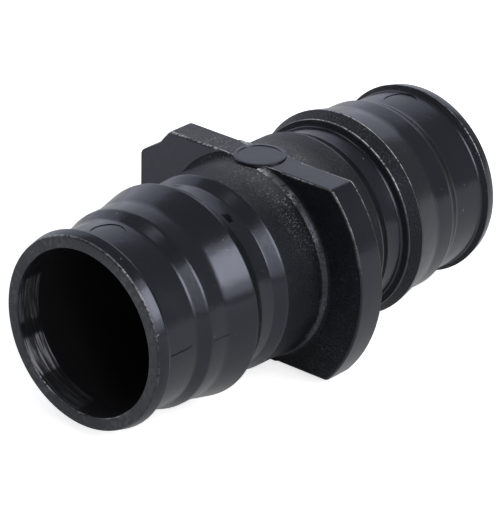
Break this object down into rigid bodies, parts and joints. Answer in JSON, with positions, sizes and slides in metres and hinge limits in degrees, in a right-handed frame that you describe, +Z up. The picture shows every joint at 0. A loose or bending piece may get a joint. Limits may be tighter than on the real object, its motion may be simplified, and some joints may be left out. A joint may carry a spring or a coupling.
{
  "type": "pex expansion coupling",
  "caption": "Straight moulded polymer coupling for PEX tube: a hollow barrel with stepped ribbed ends and a flat two-winged stop round its middle.",
  "frame": {"origin": "on the bore axis, at the middle of the central stop's thickness", "axes": "+X along the bore, +Y towards the wing that carries the gate tab, +Z up, square to the wings, on the side with the round moulding marks and the plain pad"},
  "size_m": [0.09, 0.052, 0.0384],
  "materials": {
    "black_polymer": "satin moulded black, spark-textured round the middle body and the wings"
  },
  "bodies": {
    "root": {"pex_coupling": "black_polymer"}
  },
  "joints": []
}
